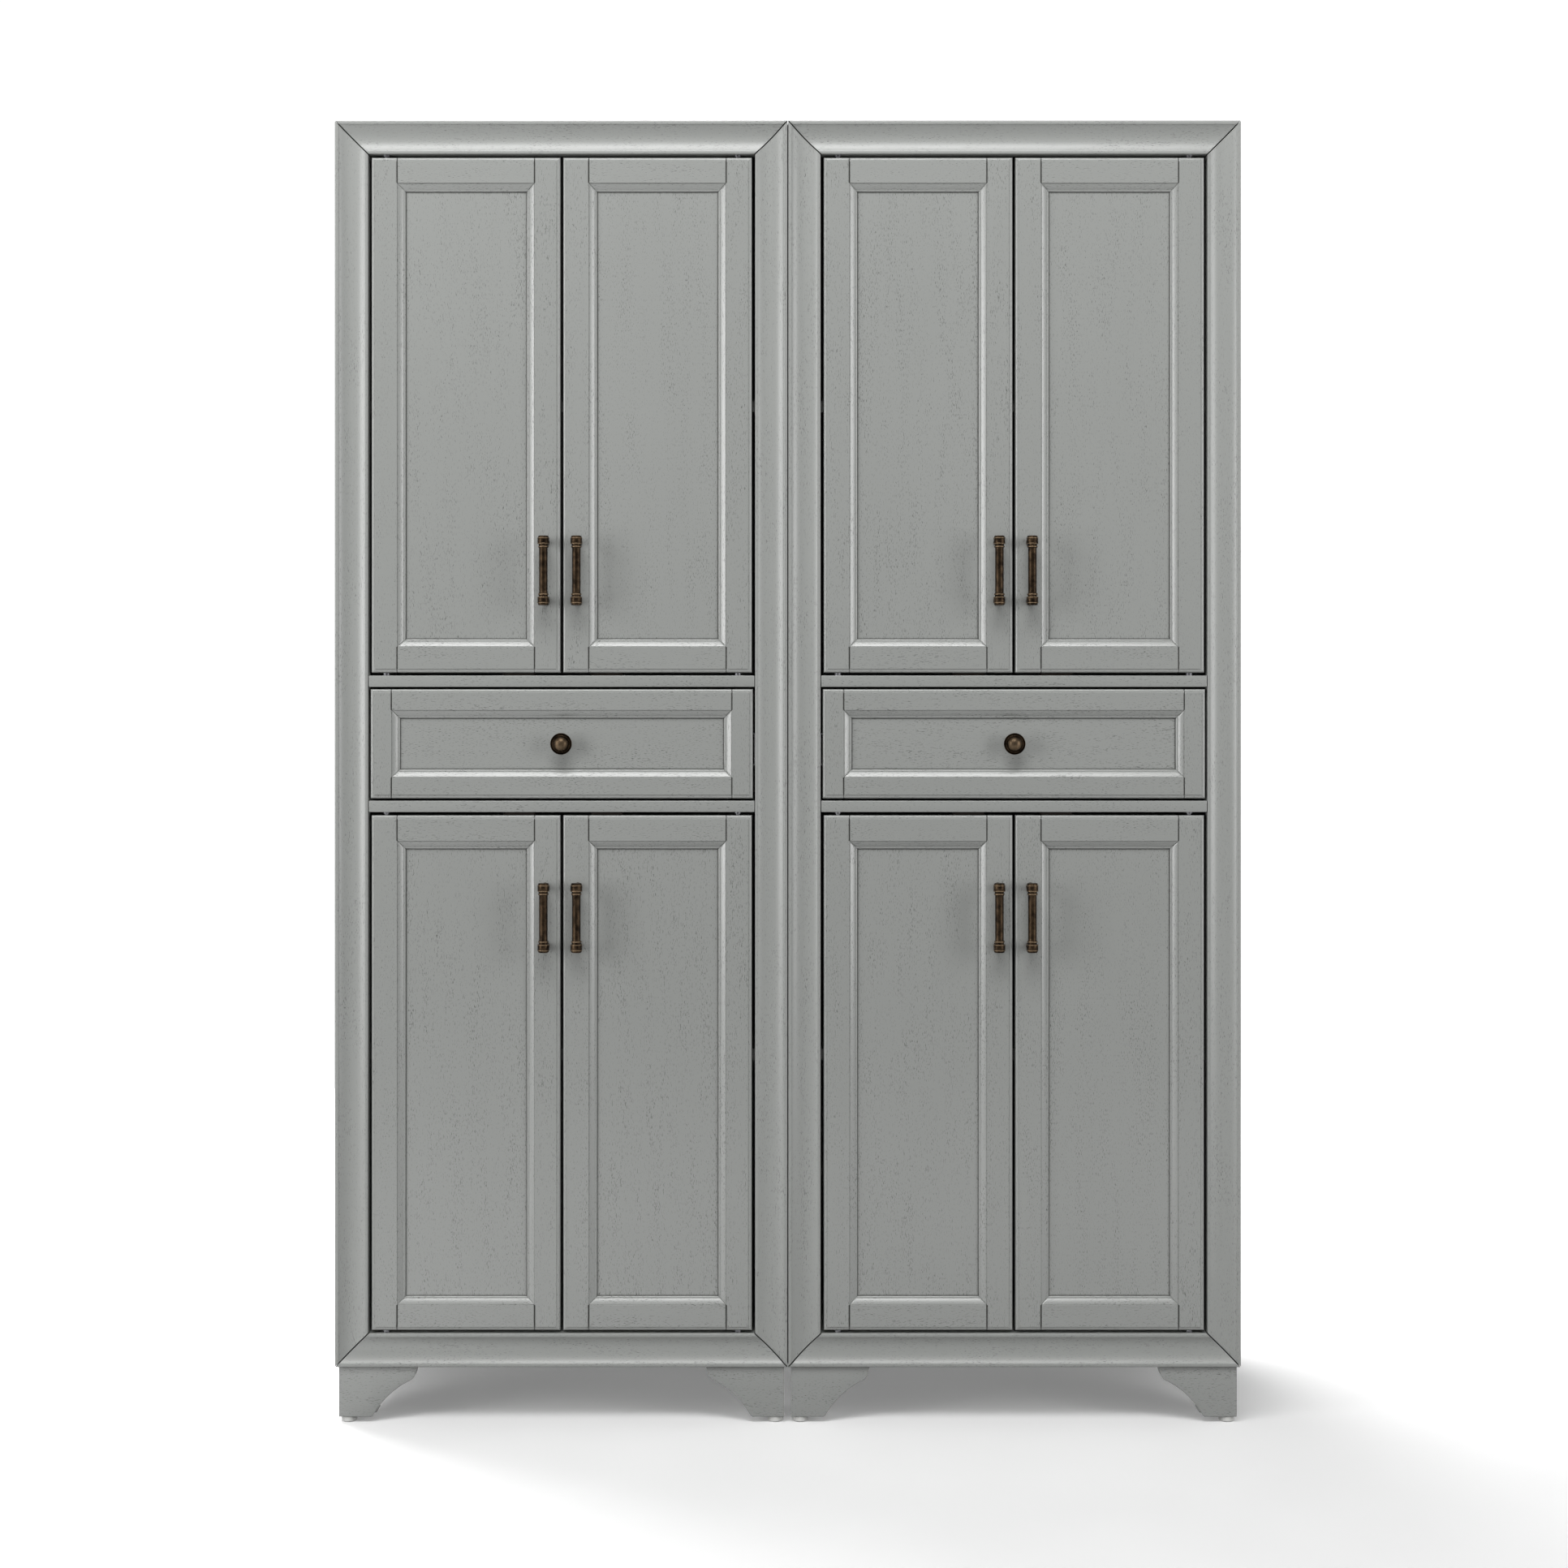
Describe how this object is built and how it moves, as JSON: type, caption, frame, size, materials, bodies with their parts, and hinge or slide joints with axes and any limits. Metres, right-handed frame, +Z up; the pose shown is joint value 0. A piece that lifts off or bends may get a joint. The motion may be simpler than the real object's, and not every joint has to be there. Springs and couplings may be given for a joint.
{
  "type": "pantry cabinet",
  "caption": "Tall painted pantry cabinets side by side, each with framed doors above and below a drawer, a picture-frame moulding, bar handles and bracket feet.",
  "frame": {"origin": "on the floor, under the middle of the pair's outline, handles included", "axes": "+X to the right seen from the front, +Y towards the back, +Z up"},
  "size_m": [1.272, 0.4295, 1.829],
  "materials": {
    "painted_wood": "satin grey paint over open-grain wood",
    "painted_board": "satin grey paint on veneered board",
    "drawer_wood": "clear lacquer on pale hardwood",
    "antique_bronze": "antique bronze, mottled dark brown with rubbed rims",
    "zinc_steel": "bright zinc plate",
    "white_nylon": "moulded, slightly glossy",
    "brown_plastic": "moulded, matte"
  },
  "bodies": {
    "cabinets": {"left_cabinet_side_panels": "painted_board", "left_cabinet_top_panel": "painted_board", "left_cabinet_bottom_panel": "painted_board", "left_cabinet_back_panel": "painted_board", "left_cabinet_divider_panels": "painted_board", "left_cabinet_drawer_rails": "painted_wood", "left_cabinet_face_moulding": "painted_wood", "left_cabinet_bracket_feet": "painted_wood", "left_cabinet_shelves": "painted_board", "right_cabinet_side_panels": "painted_board", "right_cabinet_top_panel": "painted_board", "right_cabinet_bottom_panel": "painted_board", "right_cabinet_back_panel": "painted_board", "right_cabinet_divider_panels": "painted_board", "right_cabinet_drawer_rails": "painted_wood", "right_cabinet_face_moulding": "painted_wood", "right_cabinet_bracket_feet": "painted_wood", "right_cabinet_shelves": "painted_board", "shelf_pins": "zinc_steel", "foot_glides": "white_nylon", "door_pivot_pins": "zinc_steel", "magnetic_catches": "brown_plastic", "runner_spacers": "painted_board", "drawer_runner_channels": "zinc_steel"},
    "left_cabinet_upper_left_door": {"left_cabinet_upper_left_door_frame": "painted_wood", "left_cabinet_upper_left_door_panel": "painted_wood", "left_cabinet_upper_left_door_handle": "antique_bronze"},
    "left_cabinet_upper_right_door": {"left_cabinet_upper_right_door_frame": "painted_wood", "left_cabinet_upper_right_door_panel": "painted_wood", "left_cabinet_upper_right_door_handle": "antique_bronze"},
    "left_cabinet_lower_left_door": {"left_cabinet_lower_left_door_frame": "painted_wood", "left_cabinet_lower_left_door_panel": "painted_wood", "left_cabinet_lower_left_door_handle": "antique_bronze"},
    "left_cabinet_lower_right_door": {"left_cabinet_lower_right_door_frame": "painted_wood", "left_cabinet_lower_right_door_panel": "painted_wood", "left_cabinet_lower_right_door_handle": "antique_bronze"},
    "left_cabinet_drawer": {"left_cabinet_drawer_front_frame": "painted_wood", "left_cabinet_drawer_front_panel": "painted_wood", "left_cabinet_drawer_box": "drawer_wood", "left_cabinet_drawer_bottom": "drawer_wood", "left_cabinet_drawer_knob": "antique_bronze", "left_cabinet_drawer_runners": "zinc_steel"},
    "right_cabinet_upper_left_door": {"right_cabinet_upper_left_door_frame": "painted_wood", "right_cabinet_upper_left_door_panel": "painted_wood", "right_cabinet_upper_left_door_handle": "antique_bronze"},
    "right_cabinet_upper_right_door": {"right_cabinet_upper_right_door_frame": "painted_wood", "right_cabinet_upper_right_door_panel": "painted_wood", "right_cabinet_upper_right_door_handle": "antique_bronze"},
    "right_cabinet_lower_left_door": {"right_cabinet_lower_left_door_frame": "painted_wood", "right_cabinet_lower_left_door_panel": "painted_wood", "right_cabinet_lower_left_door_handle": "antique_bronze"},
    "right_cabinet_lower_right_door": {"right_cabinet_lower_right_door_frame": "painted_wood", "right_cabinet_lower_right_door_panel": "painted_wood", "right_cabinet_lower_right_door_handle": "antique_bronze"},
    "right_cabinet_drawer": {"right_cabinet_drawer_front_frame": "painted_wood", "right_cabinet_drawer_front_panel": "painted_wood", "right_cabinet_drawer_box": "drawer_wood", "right_cabinet_drawer_bottom": "drawer_wood", "right_cabinet_drawer_knob": "antique_bronze", "right_cabinet_drawer_runners": "zinc_steel"}
  },
  "joints": [
    {"name": "left_cabinet_upper_left_door_swing", "type": "hinge", "parent": "cabinets", "child": "left_cabinet_upper_left_door", "pos_m": [-0.5655, -0.17025, 1.41625], "axis": [0, 0, -1], "range_deg": [0, 110]},
    {"name": "left_cabinet_upper_right_door_swing", "type": "hinge", "parent": "cabinets", "child": "left_cabinet_upper_right_door", "pos_m": [-0.0705, -0.17025, 1.41625], "axis": [0, 0, 1], "range_deg": [0, 95]},
    {"name": "left_cabinet_lower_left_door_swing", "type": "hinge", "parent": "cabinets", "child": "left_cabinet_lower_left_door", "pos_m": [-0.5655, -0.17025, 0.49125], "axis": [0, 0, -1], "range_deg": [0, 110]},
    {"name": "left_cabinet_lower_right_door_swing", "type": "hinge", "parent": "cabinets", "child": "left_cabinet_lower_right_door", "pos_m": [-0.0705, -0.17025, 0.49125], "axis": [0, 0, 1], "range_deg": [0, 95]},
    {"name": "left_cabinet_drawer_slide", "type": "slide", "parent": "cabinets", "child": "left_cabinet_drawer", "axis": [0, -1, 0], "range_m": [0, 0.26]},
    {"name": "right_cabinet_upper_left_door_swing", "type": "hinge", "parent": "cabinets", "child": "right_cabinet_upper_left_door", "pos_m": [0.0705, -0.17025, 1.41625], "axis": [0, 0, -1], "range_deg": [0, 95]},
    {"name": "right_cabinet_upper_right_door_swing", "type": "hinge", "parent": "cabinets", "child": "right_cabinet_upper_right_door", "pos_m": [0.5655, -0.17025, 1.41625], "axis": [0, 0, 1], "range_deg": [0, 110]},
    {"name": "right_cabinet_lower_left_door_swing", "type": "hinge", "parent": "cabinets", "child": "right_cabinet_lower_left_door", "pos_m": [0.0705, -0.17025, 0.49125], "axis": [0, 0, -1], "range_deg": [0, 95]},
    {"name": "right_cabinet_lower_right_door_swing", "type": "hinge", "parent": "cabinets", "child": "right_cabinet_lower_right_door", "pos_m": [0.5655, -0.17025, 0.49125], "axis": [0, 0, 1], "range_deg": [0, 110]},
    {"name": "right_cabinet_drawer_slide", "type": "slide", "parent": "cabinets", "child": "right_cabinet_drawer", "axis": [0, -1, 0], "range_m": [0, 0.26]}
  ]
}
